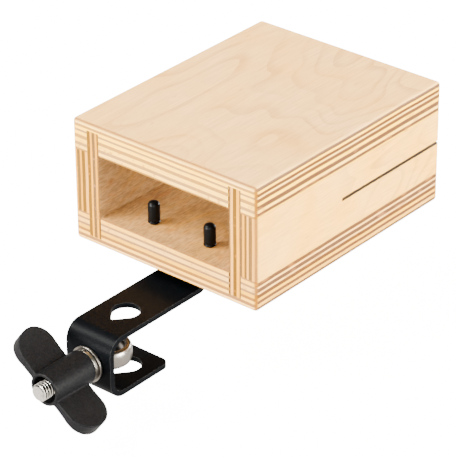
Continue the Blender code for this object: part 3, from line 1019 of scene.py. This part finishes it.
@dataclass
class ClampBracket:
    """The bent steel bracket, with the rounded edges of coated sheet.

    Args:
        edge_round: Radius of the strip's edges.
        round_segments: Facets across a rounded edge.
        flat_angle: Angle below which two facets of the solid are one flat face.
    """

    edge_round: float = 0.6 * MM
    round_segments: int = 4
    flat_angle: float = math.radians(1.0)

    def build(self, source: bpy.types.Object) -> None:
        """Round the edges of a copy of the solid bracket, then dress and place it.

        Args:
            source: The bracket's solid.
        """
        shape = bmesh.new()
        shape.from_mesh(source.data)
        bmesh.ops.remove_doubles(shape, verts=shape.verts, dist=MERGE)
        bmesh.ops.dissolve_limit(shape, angle_limit=self.flat_angle, verts=shape.verts,
                                 edges=shape.edges)
        round_edges(shape, self.edge_round, self.round_segments, is_crease)
        piece = add_object("bent_bracket", shape)
        dress(piece, POWDER_COAT.material())
        hand_over(piece, Body.BLOCK, "black_coated_steel", "clamp_bracket")


@dataclass
class BracketScrew:
    """One screw of the bracket with its brass insert and its soft cap.

    Args:
        side: The side that it stands on.
        shank: Diameter of the shank.
        dome_height: Height of the pan head's dome.
        rim: Height of the straight rim under the dome.
        drive_span: Length of the cross drive's two slots.
        drive_blade: Their width.
        drive_depth: Their depth.
        drive_taper: Share of their length that is left at the bottom.
        end_taper: Chamfer of the shank's end.
        cap_wall: Thickness of the cap's wall.
        cap_roof: Thickness of its end.
        foot_trim: How far its bead stays inside the solid's edge.
        cap_skirt: Height over which its mouth flares.
        cap_bead: Radius of the rolled bead at its mouth.
        cap_dome: Height of its domed end.
        clearance: Room between the shank and the cap.
        dome_steps: Facets from the middle of a dome to its rim.
        bead_steps: Facets over the bead.
        round_steps: Facets round the screw and the cap.
    """

    side: Side
    shank: float = 3.8 * MM
    dome_height: float = 2.0 * MM
    rim: float = 0.8 * MM
    drive_span: float = 3.6 * MM
    drive_blade: float = 1.1 * MM
    drive_depth: float = 1.5 * MM
    drive_taper: float = 0.6
    end_taper: float = 0.6 * MM
    cap_wall: float = 0.55 * MM
    cap_roof: float = 1.0 * MM
    foot_trim: float = 0.3 * MM
    cap_skirt: float = 1.3 * MM
    cap_bead: float = 0.5 * MM
    cap_dome: float = 1.9 * MM
    clearance: float = 0.3 * MM
    dome_steps: int = 10
    bead_steps: int = 8
    round_steps: int = 64

    def screw(self, low: Vector, high: Vector) -> bpy.types.Object:
        """Build the pan-head screw with its cross drive.

        Args:
            low: Lowest corner of the screw's solid.
            high: Its highest corner.

        Returns:
            The screw.
        """
        centre = upright_foot(low, high)
        head, shank = (high.x - low.x) / 2, self.shank / 2
        brim = low.z + self.dome_height
        seat = brim + self.rim
        dome = [(radius, brim - rise) for radius, rise in
                quarter_dome(head, self.dome_height, self.dome_steps)]
        profile = dome + [(head, seat), (shank, seat), (shank, high.z - self.end_taper),
                          (shank - self.end_taper, high.z), (0, high.z)]
        piece = add_object("pan_head_screw_" + self.side.label,
                           turned(profile, UP, centre, steps=self.round_steps))
        for long_axis in (0, 1):
            blade = bmesh.new()
            bmesh.ops.create_cube(blade, size=1.0)
            size = [self.drive_blade, self.drive_blade, 2 * self.drive_depth]
            size[long_axis] = self.drive_span
            bmesh.ops.scale(blade, verts=blade.verts, vec=size)
            tops = [vert for vert in blade.verts if vert.co.z > 0]
            narrow = [1.0, 1.0, 1.0]
            narrow[long_axis] = self.drive_taper
            bmesh.ops.scale(blade, verts=tops, vec=narrow)
            bmesh.ops.translate(blade, verts=blade.verts, vec=centre + UP * low.z)
            combine(piece, blade, Join.CUT)
        return piece

    def cap(self, low: Vector, high: Vector) -> bpy.types.Object:
        """Build the dipped cap: a tube with a domed end and a rolled bead at its mouth.

        Args:
            low: Lowest corner of the cap's solid.
            high: Its highest corner.

        Returns:
            The cap.
        """
        bore = self.shank / 2 + self.clearance
        outer = bore + self.cap_wall
        foot = (high.x - low.x) / 2 - self.foot_trim
        bead = self.cap_bead
        roof = high.z - self.cap_roof
        shoulder = high.z - self.cap_dome
        dome = [(radius, shoulder + rise) for radius, rise in
                reversed(quarter_dome(outer, self.cap_dome, self.dome_steps))]
        roll = arc((foot - bead, low.z + bead), bead, -QUARTER_TURN, QUARTER_TURN, self.bead_steps)
        profile = ([(0, roof), (bore, roof), (bore, low.z)] + roll
                   + [(outer, low.z + self.cap_skirt)] + dome)
        return add_object("vinyl_cap_" + self.side.label,
                          turned(profile, UP, upright_foot(low, high), steps=self.round_steps))

    def build(self, nodes: dict[str, bpy.types.Object]) -> None:
        """Build, dress and place the screw and its cap, and dress the insert.

        Args:
            nodes: The solids by name.
        """
        screw_node, cap_node = "bracket_screw_" + self.side.label, "screw_cap_" + self.side.label
        screw = self.screw(*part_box(screw_node))
        dress(screw, BLACK_ZINC.material())
        hand_over(screw, Body.BLOCK, "black_zinc_steel", screw_node)
        cap = self.cap(*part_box(cap_node))
        dress(cap, DIPPED_VINYL.material())
        hand_over(cap, Body.BLOCK, "black_rubber", cap_node)
        insert = nodes["screw_insert_" + self.side.label]
        insert.data.materials.clear()
        insert.data.materials.append(TURNED_BRASS.material())
        LOG.info("%s: solid kept, in turned brass", insert.name)


@dataclass
class EyeBolt:
    """The forged eyebolt with its rolled thread, along -Y from the eye.

    Args:
        hole: Diameter of the eye's hole.
        roundness: Power of the eye's section, 1 for an ellipse and less for a squarer one.
        neck: Diameter of the shank's root inside the eye.
        collar: Diameter of the collar under the eye.
        diameter: Diameter over the thread.
        pitch: Pitch of the thread, drawn coarser than the real 1.25 mm so that it shows.
        thread_depth: Depth of the thread.
        crest: Width of the thread's crest.
        root_flat: Width of its root.
        chamfer: Chamfer of the free end.
        weld: Distance within which the thread's turns are one.
        steps_per_turn: Facets in a turn of the thread.
        section_points: Points round the eye's section.
        eye_steps: Facets round the eye.
        collar_steps: Facets round the collar.
    """

    hole: float = 13.0 * MM
    roundness: float = 0.75
    neck: float = 5.2 * MM
    collar: float = 8.0 * MM
    diameter: float = 7.9 * MM
    pitch: float = 1.45 * MM
    thread_depth: float = 0.85 * MM
    crest: float = 0.16 * MM
    root_flat: float = 0.14 * MM
    chamfer: float = 0.6 * MM
    weld: float = 5 * MERGE
    steps_per_turn: int = 40
    section_points: int = 28
    eye_steps: int = 120
    collar_steps: int = 64

    def eye(self, low: Vector, high: Vector, centre: Vector) -> bmesh.types.BMesh:
        """Spin the eye's soft square section round the rod's line.

        Args:
            low: Lowest corner of the bolt's solid.
            high: Its highest corner.
            centre: Middle of the eye.

        Returns:
            The ring.
        """
        outer = high.y - centre.y
        middle, wide = (outer + self.hole / 2) / 2, (outer - self.hole / 2) / 2
        tall = (high.z - low.z) / 2
        section = []
        for step in range(self.section_points):
            turn = FULL_TURN * (step + 0.5) / self.section_points
            across, rise = (math.copysign(abs(part) ** self.roundness, part)
                            for part in (math.cos(turn), math.sin(turn)))
            section.append((middle + wide * across, tall * rise))
        return turned(section, UP, centre, closed=True, steps=self.eye_steps)

    def shank(self, start: float, end: float) -> bmesh.types.BMesh:
        """Screw the thread's profile along the shank and cut it square at both ends.

        Args:
            start: Station inside the eye where the shank begins.
            end: Station of its free end.

        Returns:
            A closed threaded rod.
        """
        crest, root = self.diameter / 2, self.diameter / 2 - self.thread_depth
        slope = (self.pitch - self.crest - self.root_flat) / 2
        stations = (0, self.root_flat, self.root_flat + slope, self.root_flat + slope + self.crest,
                    self.pitch)
        shape = bmesh.new()
        points = [shape.verts.new((radius, start + self.pitch - station, 0)) for radius, station in
                  zip((root, root, crest, crest, root), stations)]
        edges = [shape.edges.new(pair) for pair in zip(points, points[1:])]
        turns = math.ceil((start - end) / self.pitch) + 2
        bmesh.ops.spin(shape, geom=points + edges, cent=ORIGIN, axis=BOLT_LINE,
                       dvec=BOLT_LINE * (-self.pitch / self.steps_per_turn),
                       angle=FULL_TURN * turns, steps=turns * self.steps_per_turn)
        bmesh.ops.remove_doubles(shape, verts=shape.verts, dist=self.weld)
        for station, outward in ((start, 1), (end, -1)):
            bmesh.ops.bisect_plane(shape, geom=everything(shape), plane_co=BOLT_LINE * station,
                                   plane_no=BOLT_LINE * outward, clear_outer=True)
            bmesh.ops.remove_doubles(shape, verts=shape.verts, dist=self.weld)
            rim = [edge for edge in shape.edges if edge.is_boundary
                   and all(abs(vert.co.y - station) < self.weld for vert in edge.verts)]
            bmesh.ops.edgeloop_fill(shape, edges=rim)
        # The free end is chamfered, so the last crests are turned down.
        for vert in shape.verts:
            allowed = crest - self.chamfer + (vert.co.y - end)
            radius = math.hypot(vert.co.x, vert.co.z)
            if radius > allowed:
                vert.co.x, vert.co.z = vert.co.x * allowed / radius, vert.co.z * allowed / radius
        bmesh.ops.recalc_face_normals(shape, faces=shape.faces)
        return shape

    def note_hollows(self, piece: bpy.types.Object, start: float, end: float) -> None:
        """Note in "hollow" how deep each point lies in the thread, for the painted shade in its
        roots.

        Args:
            piece: The finished bolt.
            start: Station where its thread begins.
            end: Station of its free end.
        """
        notes = piece.data.attributes.new("hollow", "FLOAT", "POINT")
        for vert, note in zip(piece.data.vertices, notes.data):
            crest = min(self.diameter / 2, self.diameter / 2 - self.chamfer + vert.co.y - end)
            depth = (crest - math.hypot(vert.co.x, vert.co.z)) / self.thread_depth
            if vert.co.y < start:
                note.value = min(1.0, max(0.0, depth))

    def build(self) -> None:
        """Build, dress and place the eyebolt."""
        low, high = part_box("eyebolt")
        eye_radius = (high.x - low.x) / 2
        centre = Vector((0, high.y - eye_radius, 0))
        piece = add_object("threaded_eyebolt", self.eye(low, high, centre))
        shoulder = centre.y - eye_radius
        inner = centre.y - (eye_radius + self.hole / 2) / 2
        neck = [(0, inner), (self.neck / 2, inner), (self.collar / 2, shoulder),
                (self.collar / 2, shoulder - self.pitch), (0, shoulder - self.pitch)]
        combine(piece, turned(neck, BOLT_LINE, ORIGIN, steps=self.collar_steps), Join.ADD)
        combine(piece, self.shank(shoulder - self.pitch / 2, low.y), Join.ADD)
        self.note_hollows(piece, shoulder - self.pitch, low.y)
        dress(piece, BRIGHT_NICKEL.material())
        # The eye gets the darker nickel: painted shade of the bracket round it.
        piece.data.materials.append(SHADED_NICKEL.material())
        for face in piece.data.polygons:
            face.material_index = int(face.center.y > shoulder)
        hand_over(piece, Body.BOLT, "nickel_plated_steel", "eyebolt")


@dataclass
class Washers:
    """The stamped flat washer and the split spring washer.

    Args:
        bore: Diameter of their bores.
        stamp_round: Radius of their edges.
        split: Width of the spring washer's gap.
        round_segments: Facets across a rounded edge.
        steps: Facets round a washer.
    """

    bore: float = 8.6 * MM
    stamp_round: float = 0.22 * MM
    split: float = 1.2 * MM
    round_segments: int = 3
    steps: int = ROUND_STEPS

    def ring_section(self, low: Vector, high: Vector) -> list[tuple[float, float]]:
        """Corners of a washer's section as radius and station."""
        rim = (high.x - low.x) / 2
        return [(self.bore / 2, high.y), (rim, high.y), (rim, low.y), (self.bore / 2, low.y)]

    def spring_ring(self, low: Vector, high: Vector) -> bmesh.types.BMesh:
        """Spin the spring washer's section short of a full turn and slant its two ends.

        Args:
            low: Lowest corner of the washer's solid.
            high: Its highest corner.

        Returns:
            The split ring.
        """
        rim = (high.x - low.x) / 2
        middle = (low.y + high.y) / 2
        gap = self.split / ((rim + self.bore / 2) / 2)
        shape = bmesh.new()
        corners = [shape.verts.new((0, station, radius)) for radius, station in
                   self.ring_section(low, high)]
        face = shape.faces.new(corners)
        bmesh.ops.rotate(shape, verts=corners, cent=ORIGIN,
                         matrix=Matrix.Rotation(gap / 2, 3, BOLT_LINE))
        bmesh.ops.spin(shape, geom=[face], cent=ORIGIN, axis=BOLT_LINE, angle=FULL_TURN - gap,
                       steps=self.steps)
        bmesh.ops.remove_doubles(shape, verts=shape.verts, dist=MERGE)
        bmesh.ops.recalc_face_normals(shape, faces=shape.faces)
        # Each point is turned by its height, which slants the cut at 45 degrees.
        for vert in shape.verts:
            lean = (vert.co.y - middle) / math.hypot(vert.co.x, vert.co.z)
            vert.co = Matrix.Rotation(lean, 3, BOLT_LINE) @ vert.co
        return shape

    def build(self) -> None:
        """Build, dress and place both washers."""
        flat = turned(self.ring_section(*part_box("flat_washer")), BOLT_LINE, ORIGIN, closed=True,
                      steps=self.steps)
        spring = self.spring_ring(*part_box("lock_washer"))
        for name, shape, node in (("stamped_washer", flat, "flat_washer"),
                                  ("spring_washer", spring, "lock_washer")):
            round_edges(shape, self.stamp_round, self.round_segments, is_crease)
            piece = add_object(name, shape)
            # The washers get the darker nickel: painted shade.
            dress(piece, SHADED_NICKEL.material())
            hand_over(piece, Body.BLOCK, "nickel_plated_steel", node)


@dataclass
class WingNut:
    """The moulded wing nut: a hollow hub, two swelling paddles and its metal insert.

    Args:
        hub_inner: Diameter of the hub at the washers.
        hub_outer: Diameter of the hub at its outer end.
        mouth: Diameter of the hollow in the outer end.
        pocket: Diameter of the pocket that holds the insert.
        nut_length: Length of that pocket.
        insert_bore: Diameter of the insert's bore.
        reach: Distance of a paddle's tip from the bolt's line.
        width: Width of a paddle.
        root_thickness: Thickness of a paddle at the hub.
        tip_thickness: Thickness of a paddle at its tip.
        setback: How far the paddles stay behind the hub's outer end.
        swell: Power by which the thickness grows towards the tip.
        angle: Direction of the first paddle round the bolt.
        rim_round: Radius of the paddles' edges.
        ease: Radius of the insert's edges.
        voxel: Size of the cells that make hub and paddles one skin.
        fillet_passes: Smoothing passes that make the fillets.
        fillet_share: How far towards its neighbours a pass moves a point.
        slices: Slices that a paddle is cut into before it swells.
        tip_steps: Facets round a paddle's tip.
        rim_segments: Facets across a paddle's rounded edge.
        ease_segments: Facets across an edge of the insert.
    """

    hub_inner: float = 16.0 * MM
    hub_outer: float = 15.4 * MM
    mouth: float = 12.4 * MM
    pocket: float = 12.0 * MM
    nut_length: float = 12.0 * MM
    insert_bore: float = 8.6 * MM
    reach: float = 26.2 * MM
    width: float = 19.6 * MM
    root_thickness: float = 3.8 * MM
    tip_thickness: float = 8.4 * MM
    setback: float = 0.3 * MM
    swell: float = 2.2
    angle: float = math.radians(143)
    rim_round: float = 0.9 * MM
    ease: float = 0.4 * MM
    voxel: float = 0.26 * MM
    fillet_passes: int = 8
    fillet_share: float = 0.5
    slices: int = 14
    tip_steps: int = 32
    rim_segments: int = 4
    ease_segments: int = 3

    def hub(self, near: float, far: float) -> bmesh.types.BMesh:
        """Spin the hollow hub.

        Args:
            near: Station of the end at the washers.
            far: Station of the outer end.

        Returns:
            The hub.
        """
        shelf = near - self.nut_length
        profile = [(self.pocket / 2, near), (self.hub_inner / 2, near), (self.hub_outer / 2, far),
                   (self.mouth / 2, far), (self.mouth / 2, shelf), (self.pocket / 2, shelf)]
        return turned(profile, BOLT_LINE, ORIGIN, closed=True)

    def paddle(self, far: float, angle: float) -> bmesh.types.BMesh:
        """Cut a paddle to its round-tipped outline and let it swell towards the tip.

        Args:
            far: Station of the hub's outer end.
            angle: Direction of the paddle round the bolt.

        Returns:
            The paddle, from inside the hub's wall to its tip.
        """
        half = self.width / 2
        middle = far + self.setback + half
        root, bend = (self.mouth + self.hub_outer) / 4, self.reach - half
        hub = self.hub_outer / 2
        tip = arc((bend, middle), half, -QUARTER_TURN, QUARTER_TURN, self.tip_steps)
        outline = [(root, middle - half)] + tip + [(root, middle + half)]
        shape = bmesh.new()
        # It is drawn one unit thick and then scaled to its thickness at each station.
        face = shape.faces.new([shape.verts.new((x, y, -0.5)) for x, y in outline])
        push(shape, [face], UP)
        for cut in range(1, self.slices):
            station = root + (self.reach - root) * cut / self.slices
            bmesh.ops.bisect_plane(shape, geom=everything(shape), plane_co=(station, 0, 0),
                                   plane_no=(1, 0, 0))
        bmesh.ops.recalc_face_normals(shape, faces=shape.faces)
        growth = self.tip_thickness - self.root_thickness
        for vert in shape.verts:
            share = max(0.0, (vert.co.x - hub) / (self.reach - hub))
            vert.co.z *= self.root_thickness + growth * share ** self.swell
        round_edges(shape, self.rim_round, self.rim_segments, is_crease)
        bmesh.ops.rotate(shape, verts=shape.verts, cent=ORIGIN,
                         matrix=Matrix.Rotation(-angle, 3, "Y"))
        return shape

    def moulded(self) -> bpy.types.Object:
        """Fuse hub and paddles into one skin with soft fillets.

        Returns:
            The wing nut without its insert.
        """
        low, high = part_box("wing_nut")
        whole = bmesh.new()
        shapes = [self.hub(high.y, low.y)]
        shapes += [self.paddle(low.y, turn) for turn in (self.angle, self.angle + math.pi)]
        for shape in shapes:
            part = bpy.data.meshes.new("part")
            shape.to_mesh(part)
            shape.free()
            whole.from_mesh(part)
            bpy.data.meshes.remove(part)
        piece = add_object("winged_knob", whole)
        skin = piece.modifiers.new("one_skin", "REMESH")
        skin.mode, skin.voxel_size, skin.adaptivity = "VOXEL", self.voxel, 0.0
        apply_modifiers(piece)
        shape = bmesh.new()
        shape.from_mesh(piece.data)
        for _ in range(self.fillet_passes):
            bmesh.ops.smooth_vert(shape, verts=shape.verts, factor=self.fillet_share,
                                  use_axis_x=True, use_axis_y=True, use_axis_z=True)
        shape.to_mesh(piece.data)
        shape.free()
        return piece

    def insert(self) -> bpy.types.Object:
        """Build the metal nut in the hub, with eased ends.

        Returns:
            The insert.
        """
        low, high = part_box("wing_nut_insert")
        rim, bore = (high.x - low.x) / 2, self.insert_bore / 2
        profile = [(bore, high.y), (rim, high.y), (rim, low.y), (bore, low.y)]
        shape = turned(profile, BOLT_LINE, ORIGIN, closed=True)
        round_edges(shape, self.ease, self.ease_segments, is_crease)
        return add_object("knob_insert", shape)

    def build(self) -> None:
        """Build, dress and place the wing nut and its insert."""
        knob = self.moulded()
        knob.data.materials.clear()
        knob.data.materials.append(MOULDED_NYLON.material())
        knob.data.shade_smooth()
        hand_over(knob, Body.NUT, "black_plastic", "wing_nut")
        insert = self.insert()
        dress(insert, BRIGHT_NICKEL.material())
        hand_over(insert, Body.NUT, "nickel_plated_steel", "wing_nut_insert")


@dataclass(frozen=True)
class SoftBox:
    """A square studio lamp that faces the block.

    Args:
        name: Name of the lamp.
        place: Where it stands.
        size: Length of its side.
        power: Its power in watts.
        colour: Its colour.
    """

    name: str
    place: tuple[float, float, float]
    size: float
    power: float
    colour: str = "FFFEF9"

    def hang(self, target: Vector) -> None:
        """Add the lamp to the scene.

        Args:
            target: The point that it faces.
        """
        lamp = bpy.data.lights.new(self.name, "AREA")
        lamp.energy, lamp.size, lamp.color = self.power, self.size, linear(self.colour)[:3]
        stand = bpy.data.objects.new(self.name, lamp)
        bpy.context.scene.collection.objects.link(stand)
        stand.location = self.place
        stand.rotation_euler = (target - stand.location).to_track_quat("-Z", "Y").to_euler()


SOFT_BOXES = (
    SoftBox("key_box", (-1.0, -0.85, 1.45), 0.8, 142),
    SoftBox("right_box", (1.9, 0.35, 0.35), 1.0, 250),
    SoftBox("front_box", (-0.6, -1.85, 0.25), 0.7, 215),
    SoftBox("corner_box", (1.1, -1.4, 0.55), 0.5, 42),
    SoftBox("back_box", (0.3, 1.9, 0.45), 0.8, 200),
)


@dataclass
class Studio:
    """Camera, lamps, plain pale floor and the light of the room.

    Args:
        camera_place: Where the camera stands.
        camera_aim: Direction that it looks in.
        camera_roll: Its turn about that direction.
        lens: Its focal length in millimetres.
        sensor: Width of its sensor in millimetres.
        clip_start: Nearest distance that it sees.
        floor_size: Length of the floor's side.
        floor_level: Level of the floor, just under the sweep of the wings.
        floor_colour: Colour of the floor's paper.
        floor_glow: Strength of the light that the paper sends to the camera.
        floor_roughness: Roughness of the paper.
        floor_specular: Specular level of the paper.
        room_colour: Colour of the room's light.
        room_strength: Strength of that light from above.
        sweep_strength: Strength of what the white sweep throws back from below.
        horizon: Height of a direction's tip where the sweep ends and where the room begins.
        target: Point that the lamps face.
    """

    camera_place: tuple[float, float, float] = (0.66479, -0.71912, 0.60502)
    camera_aim: tuple[float, float, float] = (-0.5618, 0.6665, -0.4901)
    camera_roll: float = math.radians(-0.383)
    lens: float = 207.41
    sensor: float = 36.0
    clip_start: float = 0.01
    floor_size: float = 40.0
    floor_level: float = -30.0 * MM
    floor_colour: str = "F4F4F4"
    floor_glow: float = 14.0
    floor_roughness: float = 0.9
    floor_specular: float = 0.1
    room_colour: str = "FFFAF4"
    room_strength: float = 0.45
    sweep_strength: float = 2.4
    horizon: tuple[float, float] = (-0.2, 0.1)
    target: tuple[float, float, float] = (0.0, 0.06, 0.04)

    def camera(self) -> None:
        """Set the camera where the photograph was taken from."""
        lens = bpy.data.cameras.new("camera")
        lens.lens, lens.sensor_width, lens.clip_start = self.lens, self.sensor, self.clip_start
        stand = bpy.data.objects.new("camera", lens)
        bpy.context.scene.collection.objects.link(stand)
        stand.location = self.camera_place
        aim = Vector(self.camera_aim).to_track_quat("-Z", "Y")
        roll = Matrix.Rotation(self.camera_roll, 3, "Z").to_quaternion()
        stand.rotation_euler = (aim @ roll).to_euler()
        bpy.context.scene.camera = stand

    def floor(self) -> None:
        """Lay the floor.

        It glows for the camera alone, and neither lights the block nor shows in its gloss.
        """
        shape = bmesh.new()
        bmesh.ops.create_grid(shape, x_segments=1, y_segments=1, size=self.floor_size / 2)
        bmesh.ops.translate(shape, verts=shape.verts, vec=UP * self.floor_level)
        # Studio paper under strong light: an even white without a shadow.
        paper, _, shader = new_material("white_studio_paper")
        feed(shader, {"Base Color": linear(self.floor_colour), "Roughness": self.floor_roughness,
                      "Specular IOR Level": self.floor_specular,
                      "Emission Color": linear(self.floor_colour),
                      "Emission Strength": self.floor_glow})
        sheet = add_object("floor", shape)
        sheet.visible_diffuse = False
        sheet.visible_glossy = False
        sheet.data.materials.append(paper)

    def room(self) -> None:
        """Light the room: the white sweep throws back more from below than comes from above."""
        room = bpy.data.worlds.new("room")
        room.use_nodes = True
        tree = room.node_tree
        direction = add_node(tree, "TexCoord").outputs["Generated"]
        height = add_node(tree, "SeparateXYZ", {0: direction}).outputs[2]
        low, high = self.horizon
        strength = add_node(tree, "MapRange", {
            "Value": height, "From Min": low, "From Max": high,
            "To Min": self.sweep_strength, "To Max": self.room_strength})
        feed(tree.nodes["Background"], {"Color": linear(self.room_colour), "Strength": strength})
        bpy.context.scene.world = room

    def build(self) -> None:
        """Set up the whole studio."""
        self.camera()
        self.floor()
        self.room()
        for box in SOFT_BOXES:
            box.hang(Vector(self.target))


def main() -> None:
    """Load the frame, and build and dress every piece."""
    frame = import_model()
    logging.basicConfig(level=logging.INFO, format="%(message)s")
    Studio().build()
    SoundBox().build()
    ClampBracket().build(frame["nodes"]["clamp_bracket"])
    for side in Side:
        BracketScrew(side).build(frame["nodes"])
    EyeBolt().build()
    Washers().build()
    WingNut().build()


if __name__ == "__main__":
    main()
